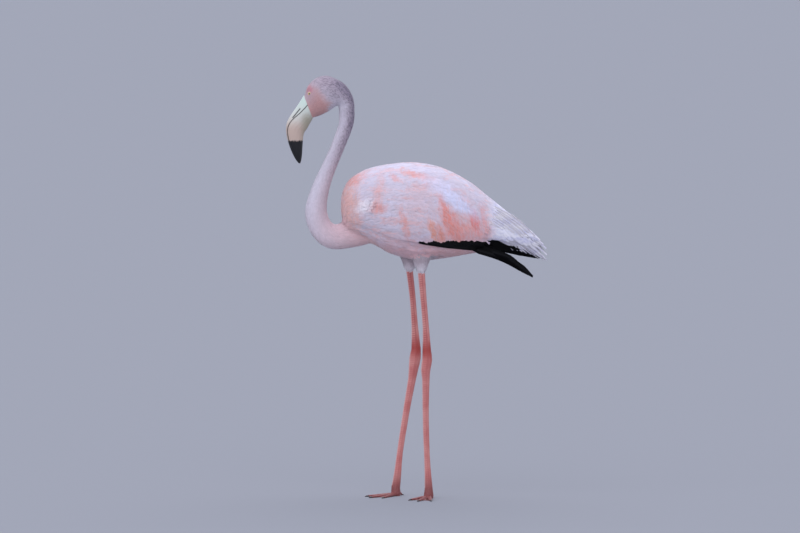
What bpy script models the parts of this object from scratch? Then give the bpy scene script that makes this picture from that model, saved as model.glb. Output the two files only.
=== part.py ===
"""A flamingo standing with its neck in an S, life size, as a still museum model.

The bird faces -X, +Z is up and its left side is -Y. The origin is on the floor under
the middle of its bounding box. Every part of the body is a closed solid of its own,
and neighbours stand GAP apart.
"""

import math

import bmesh
import bpy
import numpy as np
from mathutils import Matrix, Vector

# ---------------------------------------------------------------- driving dimensions

GAP = 0.0003  # left between neighbouring solids
LINING = 0.0010  # left between a wing and the trunk under it
MIDDLE_PLANE = 0.009  # the left toes reach out, so the middle plane lies off the box's centre
SIDES = (("left", -1), ("right", 1))

# Trunk with folded wings, as (x, top, bottom, half width) from the breast to the plume tips.
BODY = (
    (-0.1560, 0.612, 0.588, 0.010),
    (-0.1515, 0.633, 0.560, 0.030),
    (-0.1365, 0.656, 0.543, 0.047),
    (-0.1050, 0.675, 0.529, 0.062),
    (-0.0580, 0.686, 0.501, 0.074),
    (-0.0050, 0.690, 0.487, 0.079),
    (0.0500, 0.680, 0.489, 0.074),
    (0.0980, 0.657, 0.497, 0.063),
    (0.1340, 0.631, 0.503, 0.052),
    (0.1630, 0.594, 0.509, 0.043),
    (0.2050, 0.568, 0.508, 0.032),
    (0.2430, 0.543, 0.504, 0.019),
    (0.2665, 0.513, 0.504, 0.004),
)
WIDEST_LEVEL = 0.46  # where the trunk is widest, as a share of its height
FLANK_FULLNESS = 0.88  # under 1 the flanks are fuller than an ellipse

# Stretches of the trunk, counted in rows of BODY, and turns from the top, in degrees.
WING_SPAN = (1.7, 8.0)
WING_TURNS = (16.0, 126.0)
SECONDARY_SPAN = (5.0, 8.6)
SECONDARY_TURNS = (126.0, 139.0)
TERTIAL_SPAN = (8.0, 12.0)
TERTIAL_TURNS = (0.0, 118.0)
WING_EDGE = 0.002
WING_FULL = 0.009
SECONDARY_THICKNESS = 0.0025
TERTIAL_THICKNESS = 0.005
TERTIAL_TIP = 0.001

# Neck as (x, z, half depth) from the head down to the breast.
NECK = (
    (-0.1430, 0.8036, 0.0170),
    (-0.1425, 0.7790, 0.0165),
    (-0.1470, 0.7565, 0.0155),
    (-0.1665, 0.7073, 0.0148),
    (-0.1870, 0.6600, 0.0168),
    (-0.2005, 0.6200, 0.0203),
    (-0.2055, 0.5860, 0.0235),
    (-0.1965, 0.5560, 0.0247),
    (-0.1740, 0.5365, 0.0264),
    (-0.1430, 0.5390, 0.0280),
    (-0.1120, 0.5465, 0.0290),
    (-0.0820, 0.5560, 0.0280),
)
NECK_LENGTHS = 5
NECK_FLATNESS = 0.9  # width over depth

# Head as (throat x, throat z, crown x, crown z, half width) from the nape to the bill.
HEAD = (
    (-0.1600, 0.8045, -0.1260, 0.8045, 0.0153),
    (-0.1625, 0.8050, -0.1300, 0.8240, 0.0185),
    (-0.1645, 0.8035, -0.1430, 0.8460, 0.0220),
    (-0.1700, 0.7990, -0.1630, 0.8595, 0.0245),
    (-0.1800, 0.7920, -0.1860, 0.8670, 0.0255),
    (-0.1905, 0.7865, -0.2065, 0.8610, 0.0245),
    (-0.2010, 0.7820, -0.2220, 0.8460, 0.0215),
    (-0.2110, 0.7790, -0.2295, 0.8270, 0.0170),
)
EYE_PLACE = (-0.2175, 0.0128, 0.8290)
EYE_RADIUS = 0.0047

# Bill as (culmen x, culmen z, underside x, underside z, half width, mouth line as a share).
BILL = (
    (-0.2300, 0.8260, -0.2115, 0.7785, 0.0165, 0.42),
    (-0.2440, 0.8040, -0.2185, 0.7665, 0.0158, 0.33),
    (-0.2580, 0.7840, -0.2240, 0.7565, 0.0150, 0.21),
    (-0.2655, 0.7690, -0.2290, 0.7495, 0.0145, 0.14),
    (-0.2670, 0.7550, -0.2310, 0.7420, 0.0138, 0.10),
    (-0.2655, 0.7410, -0.2320, 0.7330, 0.0128, 0.10),
    (-0.2615, 0.7260, -0.2330, 0.7190, 0.0112, 0.12),
    (-0.2550, 0.7085, -0.2340, 0.7030, 0.0090, 0.15),
    (-0.2470, 0.6935, -0.2362, 0.6905, 0.0055, 0.25),
    (-0.2405, 0.6858, -0.2380, 0.6856, 0.0015, 0.50),
)

# Legs as (x, z, half depth), from inside the thigh down to the foot.
SHANKS = {
    "left": (
        (0.0100, 0.4640, 0.0075),
        (0.0142, 0.4120, 0.0067),
        (0.0192, 0.3520, 0.0067),
        (0.0212, 0.3040, 0.0090),
    ),
    "right": (
        (-0.0140, 0.4640, 0.0072),
        (-0.0079, 0.4120, 0.0064),
        (-0.0034, 0.3520, 0.0069),
        (-0.0005, 0.3040, 0.0098),
    ),
}
TARSI = {
    "left": (
        (0.0212, 0.3035, 0.0090),
        (0.0220, 0.2850, 0.0105),
        (0.0190, 0.2640, 0.0098),
        (0.0194, 0.2420, 0.0078),
        (0.0190, 0.1900, 0.0067),
        (0.0198, 0.1390, 0.0064),
        (0.0216, 0.0880, 0.0061),
        (0.0236, 0.0500, 0.0069),
        (0.0252, 0.0180, 0.0086),
    ),
    "right": (
        (-0.0005, 0.3035, 0.0098),
        (-0.0024, 0.2850, 0.0118),
        (-0.0056, 0.2640, 0.0104),
        (-0.0086, 0.2420, 0.0084),
        (-0.0180, 0.1900, 0.0072),
        (-0.0262, 0.1390, 0.0066),
        (-0.0340, 0.0880, 0.0063),
        (-0.0380, 0.0500, 0.0075),
        (-0.0422, 0.0180, 0.0092),
    ),
}
LEG_FLATNESS = 0.82
HIP_OUT = 0.030  # from the middle plane to the leg
FOOT_OUT = 0.026
HIP_LEVEL = 0.464

# Thighs as (level, half depth, half width), and how far back each lies.
THIGH = (
    (0.5300, 0.0220, 0.0080),
    (0.5060, 0.0250, 0.0135),
    (0.4860, 0.0178, 0.0140),
    (0.4653, 0.0098, 0.0098),
)
THIGH_X = {"left": 0.010, "right": -0.014}

# The ball of the foot as (level, half depth, width over depth), down to below the floor.
FOOT_BALL = ((0.0100, 0.0098, 0.88), (0.0055, 0.0100, 0.95), (-0.0010, 0.0094, 0.95))
# The hind toe as (share of its length, half width, half height), and its claw's size.
HIND_SIZES = ((0.0, 0.0042, 0.0042), (0.45, 0.0032, 0.0034), (1.0, 0.0022, 0.0022))
HIND_LEVELS = (0.0110, 0.0016)
HIND_START = 0.004
HIND_CLAW = 0.7
# Claws as (share of the length, share of the width, underside, top).
CLAW_SIZES = ((0.0, 1.0, 0.0003, 0.0036), (0.5, 0.8, 0.0002, 0.0030), (1.0, 0.3, 0.0002, 0.0012))

# Feet: the middle toe's heading from -X towards -Y, and each toe's spread, length and name.
FOOT_HEADING = {"left": 72.0, "right": 42.0}
TOES = (("inner", 22.0, 0.057), ("middle", 0.0, 0.067), ("outer", -22.0, 0.060))
TOE_WIDTH = (0.0056, 0.0030)
TOE_HEIGHT = (0.0085, 0.0042)
WEB_THICKNESS = 0.0016
WEB_REACH = 0.86
HIND_TOE = 0.017
CLAW_LENGTH = 0.0075
CLAW_WIDTH = 0.0026

# Tail as (x, z, half width, half thickness).
TAIL = (
    (0.1780, 0.5400, 0.0190, 0.0080),
    (0.2050, 0.5210, 0.0230, 0.0055),
    (0.2350, 0.5005, 0.0240, 0.0036),
    (0.2560, 0.4868, 0.0200, 0.0020),
    (0.2630, 0.4825, 0.0120, 0.0008),
)

# Folded primaries as (x, distance out, lower edge, upper edge); the left wing hangs lower.
PRIMARIES = {
    "left": (
        (0.1240, 0.0370, 0.4985, 0.5065),
        (0.1500, 0.0395, 0.4905, 0.5165),
        (0.1750, 0.0335, 0.483, 0.512),
        (0.1960, 0.0280, 0.475, 0.503),
        (0.2140, 0.0245, 0.467, 0.494),
        (0.2290, 0.0225, 0.459, 0.481),
        (0.2390, 0.0215, 0.4535, 0.460),
    ),
    "right": (
        (0.1240, 0.0370, 0.5000, 0.5075),
        (0.1500, 0.0395, 0.4935, 0.5175),
        (0.1800, 0.0345, 0.488, 0.515),
        (0.2050, 0.0310, 0.484, 0.508),
        (0.2260, 0.0300, 0.482, 0.501),
        (0.2430, 0.0295, 0.480, 0.494),
        (0.2530, 0.0290, 0.482, 0.487),
    ),
}
PRIMARY_THICKNESS = 0.0036

# ---------------------------------------------------------------------- scene helpers


def clear_scene():
    for old in list(bpy.data.objects):
        bpy.data.objects.remove(old, do_unlink=True)


def collection(name):
    made = bpy.data.collections.new(name)
    bpy.context.scene.collection.children.link(made)
    return made


clear_scene()
BIRD = collection("flamingo")
CUTTERS = collection("flamingo_cutters")
ORIGIN = bpy.data.objects.new("flamingo_origin", None)
ORIGIN.location = (0.0, MIDDLE_PLANE, 0.0)
BIRD.objects.link(ORIGIN)


def material(name, colour, roughness):
    made = bpy.data.materials.new(name)
    made.use_nodes = True
    shader = made.node_tree.nodes["Principled BSDF"]
    shader.inputs["Base Color"].default_value = (*colour, 1.0)
    shader.inputs["Roughness"].default_value = roughness
    shader.inputs["Metallic"].default_value = 0.0
    return made


def add(name, bm, mat, group=BIRD):
    """Turns a bmesh into a smooth-shaded object in the collection."""
    bmesh.ops.recalc_face_normals(bm, faces=bm.faces)
    mesh = bpy.data.meshes.new(name)
    bm.to_mesh(mesh)
    bm.free()
    mesh.materials.append(mat)
    mesh.shade_smooth()
    made = bpy.data.objects.new(name, mesh)
    made.parent = ORIGIN
    group.objects.link(made)
    return made


def cutter(name, bm):
    made = add(name, bm, BODY_WHITE, CUTTERS)
    made.hide_render = True
    made.display_type = "WIRE"
    return made


def boolean(target, operand, operation):
    cut = target.modifiers.new(operand.name, "BOOLEAN")
    cut.operation = operation
    cut.solver = "EXACT"
    cut.object = operand


def flow(keys, count, start=0.0, end=None):
    """Rows read evenly, from row start to row end, along a smooth curve through the keys."""
    keys = np.array(keys, float)
    last = len(keys) - 1
    padded = np.vstack((2 * keys[0] - keys[1], keys, 2 * keys[-1] - keys[-2]))
    rows = []
    for place in np.linspace(start, last if end is None else end, count):
        i = min(int(place), last - 1)
        t = place - i
        a, b, c, d = padded[i : i + 4]
        bend = 2 * a - 5 * b + 4 * c - d
        rows.append(0.5 * (2 * b + (c - a) * t + bend * t**2 + (3 * (b - c) + d - a) * t**3))
    return np.array(rows)


def ring(bm, centre, up, side, segments):
    """An ellipse of edges round centre, with the half axes up and side."""
    frame = Matrix.Identity(4)
    frame.col[0].xyz = side
    frame.col[1].xyz = up
    frame.col[2].xyz = Vector(side).cross(Vector(up)).normalized()
    frame.col[3].xyz = centre
    made = bmesh.ops.create_circle(bm, segments=segments, radius=1.0, matrix=frame)
    return list({edge for vert in made["verts"] for edge in vert.link_edges})


def bridge(bm, rings):
    """Closes a row of edge rings into one skin with flat ends."""
    for here, there in zip(rings, rings[1:]):
        bmesh.ops.bridge_loops(bm, edges=here + there)
    for end in (rings[0], rings[-1]):
        bmesh.ops.edgeloop_fill(bm, edges=end)


def loft(bm, frames, segments):
    """A closed skin over a row of ellipses, each a (centre, up, side)."""
    bridge(bm, [ring(bm, *frame, segments) for frame in frames])


def lofted(name, frames, segments, mat):
    bm = bmesh.new()
    loft(bm, frames, segments)
    return add(name, bm, mat)


def side_frames(rows):
    """Ellipses from (x, z, x, z, half width) rows: two points of the outline and a width."""
    frames = []
    for low_x, low_z, high_x, high_z, width in rows:
        low = Vector((low_x, 0.0, low_z))
        high = Vector((high_x, 0.0, high_z))
        frames.append(((low + high) / 2, (high - low) / 2, Vector((0.0, width, 0.0))))
    return frames


def tube_frames(points, depths, flatness):
    """Ellipses square to a route, deep in the plane of the bend and flattened across it."""
    frames = []
    for i, point in enumerate(points):
        along = points[min(i + 1, len(points) - 1)] - points[max(i - 1, 0)]
        side = Vector((0.0, 1.0, 0.0))
        up = along.cross(side).normalized()
        across = up.cross(along).normalized()
        frames.append((point, up * depths[i], across * depths[i] * flatness))
    return frames


# -------------------------------------------------------------------------- materials

BODY_WHITE = material("body feathers", (0.72, 0.62, 0.70), 0.8)
NECK_GREY = material("neck feathers", (0.50, 0.44, 0.54), 0.85)
FACE_PINK = material("face skin", (0.60, 0.36, 0.38), 0.6)
WING_PINK = material("wing coverts", (0.76, 0.52, 0.55), 0.75)
FLIGHT_BLACK = material("flight feathers", (0.010, 0.011, 0.014), 0.45)
LEG_PINK = material("leg scales", (0.52, 0.20, 0.22), 0.5)
BILL_PALE = material("bill horn", (0.60, 0.56, 0.52), 0.35)
CLAW_DARK = material("claw horn", (0.05, 0.035, 0.035), 0.4)
EYE_YELLOW = material("eye", (0.75, 0.60, 0.25), 0.1)

# ------------------------------------------------------------------------------ trunk


def body_point(row, turn, side, depth):
    """A point of the trunk's outer form, depth inside it, at a turn from the top."""
    x, top, bottom, width = flow(BODY, 1, row, row)[0]
    middle = bottom + WIDEST_LEVEL * (top - bottom)
    angle = math.radians(turn)
    height = (top - middle if turn < 90 else middle - bottom) - depth
    out = max(width - depth, GAP) * abs(math.sin(angle)) ** FLANK_FULLNESS
    return Vector((x, side * out, middle + height * math.cos(angle)))


def inside(value, low, high):
    return low - 1e-6 <= value <= high + 1e-6


def wing_depth(row, turn):
    """How thick the wing is: full in the middle and thin at its edges."""
    along = (row - WING_SPAN[0]) / (WING_SPAN[1] - WING_SPAN[0])
    across = (turn - WING_TURNS[0]) / (WING_TURNS[1] - WING_TURNS[0])
    swell = max(math.sin(math.pi * along) * math.sin(math.pi * across), 0.0) ** 0.5
    return WING_EDGE + (WING_FULL - WING_EDGE) * swell


def tertial_depth(row, turn):
    """The plumes thin out towards their tips."""
    along = (row - TERTIAL_SPAN[0]) / (TERTIAL_SPAN[1] - TERTIAL_SPAN[0])
    return TERTIAL_THICKNESS + (TERTIAL_TIP - TERTIAL_THICKNESS) * max(along, 0.0)


def secondary_depth(row, turn):
    return SECONDARY_THICKNESS


def trunk_depth(row, turn):
    """How far the trunk lies under its outer form to make room for the wings."""
    depth = 0.0
    if inside(row, *WING_SPAN) and inside(turn, *WING_TURNS):
        depth = wing_depth(row, turn) + LINING
    if inside(row, *SECONDARY_SPAN) and inside(turn, *SECONDARY_TURNS):
        depth = max(depth, SECONDARY_THICKNESS + LINING)
    if inside(row, *TERTIAL_SPAN) and inside(turn, *TERTIAL_TURNS):
        depth = max(depth, TERTIAL_THICKNESS + 2 * LINING)
    return depth


WING_STEP = 1.6  # degrees of plain trunk between a wing's edge and the next line
BACK_TURNS = (0.0, WING_TURNS[0] - WING_STEP, WING_TURNS[0])
FLANK_TURNS = (32.0, 48.0, 64.0, 80.0, 96.0, 110.0, TERTIAL_TURNS[1])
BELLY_TURNS = (SECONDARY_TURNS[1] + WING_STEP, 152.0, 166.0, 180.0)
TURNS = (*BACK_TURNS, *FLANK_TURNS, *SECONDARY_TURNS, *BELLY_TURNS)
BREAST_ROWS = (0.0, 0.5, 1.0, 1.6, WING_SPAN[0])
WING_ROWS = (2.0, 2.5, 3.0, 3.5, 4.0, 4.5, 5.0, 5.5, 6.0, 6.5, 7.0, 7.5, 7.97)
RUMP_SHRINK = {9.0: 0.004, 9.3: 0.012}  # the rump draws in under the tail
ROWS = (*BREAST_ROWS, *WING_ROWS, WING_SPAN[1], SECONDARY_SPAN[1], *RUMP_SHRINK)


def trunk_mesh(grow=0.0):
    """The trunk without the wings; grow swells it to leave a gap round it."""
    bm = bmesh.new()
    around = [(turn, -1) for turn in TURNS] + [(turn, 1) for turn in TURNS[-2:0:-1]]
    rings = []
    for row in ROWS:
        made = bmesh.ops.create_circle(bm, segments=len(around), radius=1.0)
        for vert, (turn, side) in zip(made["verts"], around):
            depth = trunk_depth(row, turn) + RUMP_SHRINK.get(row, 0.0)
            vert.co = body_point(row, turn, side, depth - grow)
        rings.append(list({edge for vert in made["verts"] for edge in vert.link_edges}))
    bridge(bm, rings)
    if grow:
        for vert in bm.verts:
            vert.co.x += math.copysign(grow, vert.co.x)
    return bm


def shell(name, side, rows, turns, thickness, mat):
    """A plate over part of the trunk's outer form, closed along its edges."""
    bm = bmesh.new()
    for inner in (False, True):
        made = bmesh.ops.create_grid(bm, x_segments=len(rows) - 1, y_segments=len(turns) - 1, size=1.0)
        for i, vert in enumerate(made["verts"]):
            row = rows[i % len(rows)]
            turn = turns[i // len(rows)]
            depth = thickness(row, turn) if inner else 0.0
            vert.co = body_point(row, turn, side, depth)
            vert.co.y = side * max(abs(vert.co.y), GAP / 2)
    rims = [edge for edge in bm.edges if edge.is_boundary]
    bmesh.ops.bridge_loops(bm, edges=rims)
    return add(name, bm, mat)


def lines_between(lines, span, inset):
    """The grid lines within a span, with the two end ones drawn in by inset."""
    low, high = span
    middle = [line for line in lines if low + inset < line < high - inset]
    return [low + inset] + middle + [high - inset]


def make_trunk():
    add("trunk", trunk_mesh(), BODY_WHITE)


def make_wings():
    row_inset = 0.006
    turn_inset = 0.18
    plain_rows = [row for row in ROWS if row not in (1.6, 7.97)]
    plume_rows = [8.0, 8.6, 9.0, 9.5, 10.0, 10.5, 11.0, 11.4, 11.75, 12.0]
    plain_turns = [turn for turn in TURNS if turn not in (TURNS[1], TERTIAL_TURNS[1])]
    for label, side in SIDES:
        shell(
            f"wing_{label}",
            side,
            lines_between(plain_rows, WING_SPAN, row_inset),
            lines_between(plain_turns, WING_TURNS, turn_inset),
            wing_depth,
            WING_PINK,
        )
        shell(
            f"secondaries_{label}",
            side,
            lines_between(plain_rows, SECONDARY_SPAN, row_inset),
            lines_between(plain_turns, SECONDARY_TURNS, turn_inset),
            secondary_depth,
            FLIGHT_BLACK,
        )
        shell(
            f"tertials_{label}",
            side,
            lines_between(plume_rows, TERTIAL_SPAN, row_inset),
            lines_between(plain_turns, TERTIAL_TURNS, turn_inset),
            tertial_depth,
            BODY_WHITE,
        )
        frames = []
        for x, out, low, high in flow(PRIMARIES[label], 11):
            thin = PRIMARY_THICKNESS / 2 * (0.35 + 0.65 * min((high - low) / 0.028, 1.0))
            centre = Vector((x, side * out, (low + high) / 2))
            frames.append((centre, Vector((0.0, 0.0, (high - low) / 2)), Vector((0.0, thin, 0.0))))
        lofted(f"primaries_{label}", frames, 10, FLIGHT_BLACK)


def make_tail():
    frames = []
    for x, z, width, thickness in flow(TAIL, 8):
        frames.append((Vector((x, 0.0, z)), Vector((0.0, 0.0, thickness)), Vector((0.0, width, 0.0))))
    lofted("tail", frames, 14, BODY_WHITE)


# ---------------------------------------------------------------------- neck and head


def make_neck():
    """The neck parted into lengths by thin flat cuts; the last one meets the trunk."""
    steps_each = 8
    rows = flow(NECK, NECK_LENGTHS * steps_each + 1)
    points = [Vector((x, 0.0, z)) for x, z, depth in rows]
    frames = tube_frames(points, rows[:, 2], NECK_FLATNESS)
    for length in range(NECK_LENGTHS):
        part = [list(frame) for frame in frames[length * steps_each : (length + 1) * steps_each + 1]]
        heading = (part[1][0] - part[0][0]).normalized()
        part[0][0] = part[0][0] + heading * GAP
        made = lofted(f"neck_{length + 1}", part, 16, NECK_GREY)
    boolean(made, cutter("trunk_clearance", trunk_mesh(grow=0.0005)), "DIFFERENCE")


def make_head():
    rows = flow(HEAD, 15)
    head = lofted("head", side_frames(rows), 18, FACE_PINK)
    for label, side in SIDES:
        x, y, z = EYE_PLACE
        place = Matrix.Translation((x, side * y, z))
        ball = bmesh.new()
        bmesh.ops.create_uvsphere(ball, u_segments=12, v_segments=8, radius=EYE_RADIUS, matrix=place)
        add(f"eye_{label}", ball, EYE_YELLOW)
        socket = bmesh.new()
        bmesh.ops.create_uvsphere(socket, u_segments=12, v_segments=8, radius=EYE_RADIUS + GAP, matrix=place)
        boolean(head, cutter(f"eye_socket_{label}", socket), "DIFFERENCE")


def make_bill():
    """The bill, parted along the mouth into the narrow upper and the deep lower half."""
    rows = flow(BILL, 17)
    base_gap = Vector((-0.92, 0.0, -0.36)) * GAP
    for name, upper, segments in (("bill_upper", True, 10), ("bill_lower", False, 14)):
        bm = bmesh.new()
        rings = []
        for i, (culmen_x, culmen_z, under_x, under_z, width, share) in enumerate(rows):
            culmen = Vector((culmen_x, 0.0, culmen_z))
            under = Vector((under_x, 0.0, under_z))
            centre = (culmen + under) / 2 + (base_gap if i == 0 else Vector())
            up = (culmen - under) / 2
            mouth = 1 - 2 * share + (1 if upper else -1) * GAP / 2 / up.length
            corner = math.acos(mouth)
            first, last = (-corner, corner) if upper else (corner, math.tau - corner)
            made = bmesh.ops.create_circle(bm, segments=segments, radius=1.0)
            for vert, turn in zip(made["verts"], np.linspace(first, last, segments)):
                vert.co = centre + up * math.cos(turn) + Vector((0.0, width * math.sin(turn), 0.0))
            rings.append(list({edge for vert in made["verts"] for edge in vert.link_edges}))
        bridge(bm, rings)
        add(name, bm, BILL_PALE)


# ------------------------------------------------------------------------------- legs


def leg_out(z):
    """How far a leg stands from the middle plane at a level."""
    return FOOT_OUT + (HIP_OUT - FOOT_OUT) * z / HIP_LEVEL


def leg_frames(keys, side, count):
    rows = flow(keys, count)
    points = [Vector((x, side * leg_out(z), z)) for x, z, depth in rows]
    return tube_frames(points, rows[:, 2], LEG_FLATNESS)


def make_legs():
    for label, side in SIDES:
        frames = []
        for z, depth, width in flow(THIGH, 7):
            centre = Vector((THIGH_X[label], side * leg_out(z), z))
            frames.append((centre, Vector((depth, 0.0, 0.0)), Vector((0.0, width, 0.0))))
        thigh = lofted(f"thigh_{label}", frames, 14, BODY_WHITE)
        boolean(thigh, bpy.data.objects["trunk_clearance"], "DIFFERENCE")
        shank = leg_frames(SHANKS[label], side, 7)
        tarsus = leg_frames(TARSI[label], side, 17)
        top_of_tarsus = shank[-1][0] + (shank[-1][0] - shank[-2][0]).normalized() * GAP
        tarsus[0] = (top_of_tarsus, *shank[-1][1:])
        lofted(f"shank_{label}", shank, 12, LEG_PINK)
        lofted(f"tarsus_{label}", tarsus, 12, LEG_PINK)
        make_foot(label, side, tarsus)


def toe_frames(start, heading, length, steps=5):
    """Ellipses along a toe, which lies on the floor and tapers."""
    across = Vector((-heading.y, heading.x, 0.0))
    frames = []
    for i in range(steps):
        t = i / (steps - 1)
        width = TOE_WIDTH[0] + (TOE_WIDTH[1] - TOE_WIDTH[0]) * t
        height = TOE_HEIGHT[0] + (TOE_HEIGHT[1] - TOE_HEIGHT[0]) * t
        centre = start + heading * length * t
        centre.z = height * 0.42
        frames.append((centre, Vector((0.0, 0.0, height / 2)), across * width))
    return frames


def make_foot(label, side, tarsus):
    """Three webbed front toes and a short hind one, with flat soles on the floor."""
    ball, up, across = tarsus[-1]
    down = (ball - tarsus[-2][0]).normalized()
    foot_bm = bmesh.new()
    upright = [(ball + down * GAP, up, across)]
    for level, depth, width in FOOT_BALL:
        centre = Vector((ball.x, ball.y, level))
        upright.append((centre, Vector((depth, 0.0, 0.0)), Vector((0.0, depth * width, 0.0))))
    loft(foot_bm, upright, 12)
    foot = add(f"foot_{label}", foot_bm, LEG_PINK)
    start = Vector((ball.x, ball.y, 0.0))
    headings = []
    for toe, spread, length in TOES:
        turn = math.radians(FOOT_HEADING[label] + side * spread)
        heading = Vector((-math.cos(turn), -math.sin(turn), 0.0))
        headings.append((heading, length))
        toe_bm = bmesh.new()
        loft(toe_bm, toe_frames(start, heading, length), 8)
        boolean(foot, cutter(f"toe_{label}_{toe}", toe_bm), "UNION")
        make_claw(f"claw_{label}_{toe}", start + heading * (length + GAP), heading)
    boolean(foot, cutter(f"web_{label}", web_mesh(start, headings)), "UNION")
    back = -headings[1][0]
    hind_bm = bmesh.new()
    hind_start = Vector((ball.x, ball.y, HIND_LEVELS[0])) + back * HIND_START
    hind_end = Vector((ball.x, ball.y, HIND_LEVELS[1])) + back * HIND_TOE
    across = Vector((-back.y, back.x, 0.0))
    hind_frames = []
    for t, width, height in HIND_SIZES:
        centre = hind_start.lerp(hind_end, t)
        hind_frames.append((centre, Vector((0.0, 0.0, height)), across * width))
    loft(hind_bm, hind_frames, 8)
    boolean(foot, cutter(f"hind_toe_{label}", hind_bm), "UNION")
    tip = Vector((hind_end.x, hind_end.y, 0.0)) + back * GAP
    make_claw(f"claw_{label}_hind", tip, back, HIND_CLAW)
    boolean(foot, bpy.data.objects["floor_clearance"], "DIFFERENCE")


def web_mesh(start, headings):
    """The skin between the toes, a thin plate with a hollow front edge."""
    bm = bmesh.new()
    rim = []
    steps = 6
    for (here, here_length), (there, there_length) in zip(headings, headings[1:]):
        for i in range(steps + 1):
            t = i / steps
            heading = here.lerp(there, t).normalized()
            reach = here_length + (there_length - here_length) * t
            hollow = 1.0 - 0.22 * math.sin(math.pi * t)
            point = start + heading * reach * WEB_REACH * hollow
            if not rim or (point - rim[-1]).length > 1e-5:
                rim.append(point)
    verts = [bm.verts.new((start.x, start.y, -0.001))]
    verts += [bm.verts.new((point.x, point.y, -0.001)) for point in rim]
    plate = bmesh.ops.contextual_create(bm, geom=verts)["faces"]
    raised = bmesh.ops.extrude_face_region(bm, geom=plate)["geom"]
    lift = [item for item in raised if isinstance(item, bmesh.types.BMVert)]
    bmesh.ops.translate(bm, verts=lift, vec=(0.0, 0.0, WEB_THICKNESS + 0.001))
    return bm


def make_claw(name, start, heading, scale=1.0):
    """A blunt claw that goes on from a toe and bends down to the floor."""
    across = Vector((-heading.y, heading.x, 0.0))
    frames = []
    for t, width, low, high in CLAW_SIZES:
        centre = start + heading * CLAW_LENGTH * scale * t
        centre.z = (low + high) / 2 * scale
        half_height = Vector((0.0, 0.0, (high - low) / 2 * scale))
        frames.append((centre, half_height, across * CLAW_WIDTH * scale * width))
    lofted(name, frames, 8, CLAW_DARK)


def make_floor():
    """What lies below the floor, cut away to leave the soles flat."""
    slab = bmesh.new()
    depth = 0.02
    place = Matrix.Translation((0.0, 0.0, -depth / 2)) @ Matrix.Diagonal((0.6, 0.6, depth, 1.0))
    bmesh.ops.create_cube(slab, size=1.0, matrix=place)
    cutter("floor_clearance", slab)


make_trunk()
make_wings()
make_tail()
make_neck()
make_head()
make_bill()
make_floor()
make_legs()
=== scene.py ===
"""The looks of a standing flamingo, a life-size museum model with a full coat of feathers."""
import math

import bmesh
import bpy
import numpy as np
from mathutils import Matrix, Vector, kdtree
from mathutils.bvhtree import BVHTree


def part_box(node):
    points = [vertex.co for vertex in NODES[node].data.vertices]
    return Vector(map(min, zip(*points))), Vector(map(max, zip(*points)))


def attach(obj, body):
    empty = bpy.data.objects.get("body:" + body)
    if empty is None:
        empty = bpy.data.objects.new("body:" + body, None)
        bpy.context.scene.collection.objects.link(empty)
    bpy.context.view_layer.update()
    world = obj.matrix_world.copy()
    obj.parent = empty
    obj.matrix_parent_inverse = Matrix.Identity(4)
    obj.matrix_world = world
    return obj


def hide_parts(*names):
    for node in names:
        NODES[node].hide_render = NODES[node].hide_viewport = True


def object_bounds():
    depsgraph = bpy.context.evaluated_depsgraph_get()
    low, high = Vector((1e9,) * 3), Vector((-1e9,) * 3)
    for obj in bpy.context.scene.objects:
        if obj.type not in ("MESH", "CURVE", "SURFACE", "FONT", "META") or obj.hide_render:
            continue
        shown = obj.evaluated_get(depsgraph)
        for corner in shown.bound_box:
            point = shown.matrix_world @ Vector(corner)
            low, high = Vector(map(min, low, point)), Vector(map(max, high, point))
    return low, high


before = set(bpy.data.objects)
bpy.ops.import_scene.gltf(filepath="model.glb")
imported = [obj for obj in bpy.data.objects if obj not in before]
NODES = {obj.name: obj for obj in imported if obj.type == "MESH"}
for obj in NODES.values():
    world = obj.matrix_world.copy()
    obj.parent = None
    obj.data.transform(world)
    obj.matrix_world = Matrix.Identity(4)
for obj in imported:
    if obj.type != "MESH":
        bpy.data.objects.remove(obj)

CAD_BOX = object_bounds()
SIDES = (("left", -1), ("right", 1))
rng = np.random.default_rng(36)

# ------------------------------------------------------------------------ landmarks

TRUNK_LOW, TRUNK_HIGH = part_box("trunk")
MIDDLE = (TRUNK_LOW.y + TRUNK_HIGH.y) / 2
FLESH = ["head", "trunk", "wing_left", "wing_right", "thigh_left", "thigh_right"]
NECKS = [f"neck_{i}" for i in range(1, 6)]
HORN = ["bill_upper", "bill_lower"]
Y = np.array((0.0, 1.0, 0.0))


def read(items, key, width, kind=np.float32):
    """One property of many mesh items, as rows."""
    found = np.empty(len(items) * width, kind)
    items.foreach_get(key, found)
    return found.reshape(-1, width)


def read_points(mesh):
    return read(mesh.vertices, "co", 3).astype(float)


def node_points(node):
    return read_points(NODES[node].data)


def node_centre(node):
    return node_points(node).mean(0)


def unit(vectors):
    """Vectors of length one."""
    return vectors / np.maximum(np.linalg.norm(vectors, axis=-1, keepdims=True), 1e-12)


def smooth_step(value, low, high):
    t = np.clip((value - low) / (high - low), 0, 1)
    return t * t * (3 - 2 * t)


def spline(keys, count):
    """Rows read evenly along a smooth curve through the keys."""
    keys = np.array(keys, float)
    last = len(keys) - 1
    padded = np.vstack((2 * keys[0] - keys[1], keys, 2 * keys[-1] - keys[-2]))
    place = np.linspace(0, last, count)
    i = np.minimum(place.astype(int), last - 1)
    t = (place - i)[:, None]
    a, b, c, d = (padded[i + k] for k in range(4))
    bend = 2 * a - 5 * b + 4 * c - d
    return 0.5 * (2 * b + (c - a) * t + bend * t**2 + (3 * (b - c) + d - a) * t**3)


HEAD_LOW, HEAD_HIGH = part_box("head")
BILL_ROOT = np.array((HEAD_LOW.x + 0.010, MIDDLE, (HEAD_LOW.z + HEAD_HIGH.z) / 2 - 0.018))
NECK_ROOT = node_centre("neck_5") + np.array((0.045, 0.0, 0.012))
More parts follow.
